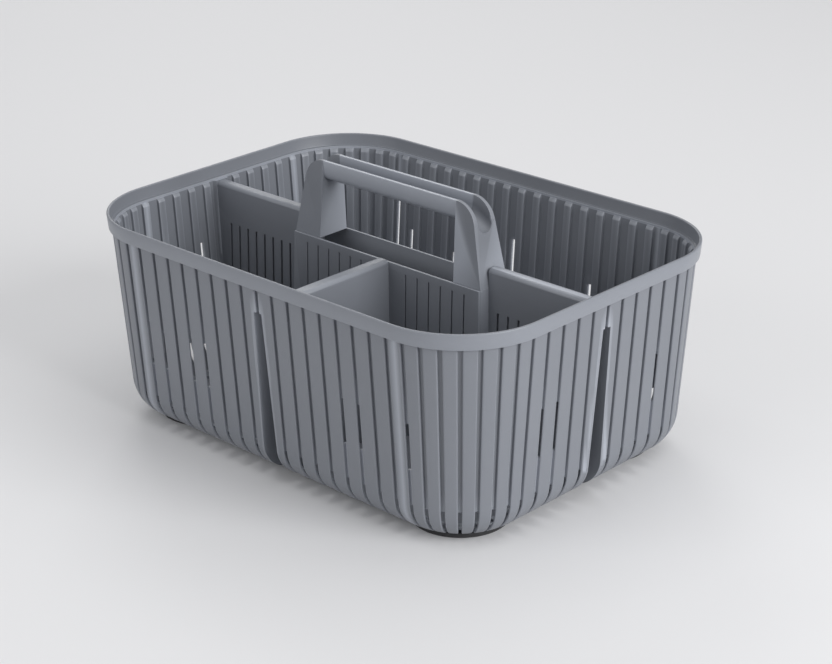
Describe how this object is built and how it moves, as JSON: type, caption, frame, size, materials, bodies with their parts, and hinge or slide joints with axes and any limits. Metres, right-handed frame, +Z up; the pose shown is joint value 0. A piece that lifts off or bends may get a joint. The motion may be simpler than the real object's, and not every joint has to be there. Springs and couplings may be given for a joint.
{
  "type": "cleaning caddy",
  "caption": "Open plastic cleaning caddy with fluted walls, three compartments, a fixed trough-shaped carrying handle over a narrow central well, and rubber feet.",
  "frame": {"origin": "on the ground under the middle of the caddy, at the underside of the feet", "axes": "+X along the long side towards the right end, +Y towards the rear compartment, +Z up"},
  "size_m": [0.3998, 0.2918, 0.198],
  "materials": {
    "grey_plastic": "satin moulded polypropylene, cool mid grey",
    "foot_rubber": "matt black anti-slip rubber"
  },
  "bodies": {
    "root": {"base_edge_front_left": "grey_plastic", "base_edge_front_right": "grey_plastic", "base_edge_left_front": "grey_plastic", "base_edge_left_rear": "grey_plastic", "base_edge_rear_left": "grey_plastic", "base_edge_rear_right": "grey_plastic", "base_edge_right_front": "grey_plastic", "base_edge_right_rear": "grey_plastic", "corner_edge_front_left": "grey_plastic", "corner_edge_front_right": "grey_plastic", "corner_edge_rear_left": "grey_plastic", "corner_edge_rear_right": "grey_plastic", "corner_wall_front_left": "grey_plastic", "corner_wall_front_right": "grey_plastic", "corner_wall_rear_left": "grey_plastic", "corner_wall_rear_right": "grey_plastic", "cross_divider": "grey_plastic", "foot_front_left": "foot_rubber", "foot_front_right": "foot_rubber", "foot_rear_left": "foot_rubber", "foot_rear_right": "foot_rubber", "front_left_floor": "grey_plastic", "front_right_floor": "grey_plastic", "front_wall": "grey_plastic", "handle_grip": "grey_plastic", "handle_post_left": "grey_plastic", "handle_post_right": "grey_plastic", "left_end_wall": "grey_plastic", "long_divider_left": "grey_plastic", "long_divider_right": "grey_plastic", "rear_floor": "grey_plastic", "rear_wall": "grey_plastic", "right_end_wall": "grey_plastic", "rim_band": "grey_plastic", "well_front_wall": "grey_plastic", "well_left_end": "grey_plastic", "well_rear_wall": "grey_plastic", "well_right_end": "grey_plastic"}
  },
  "joints": []
}
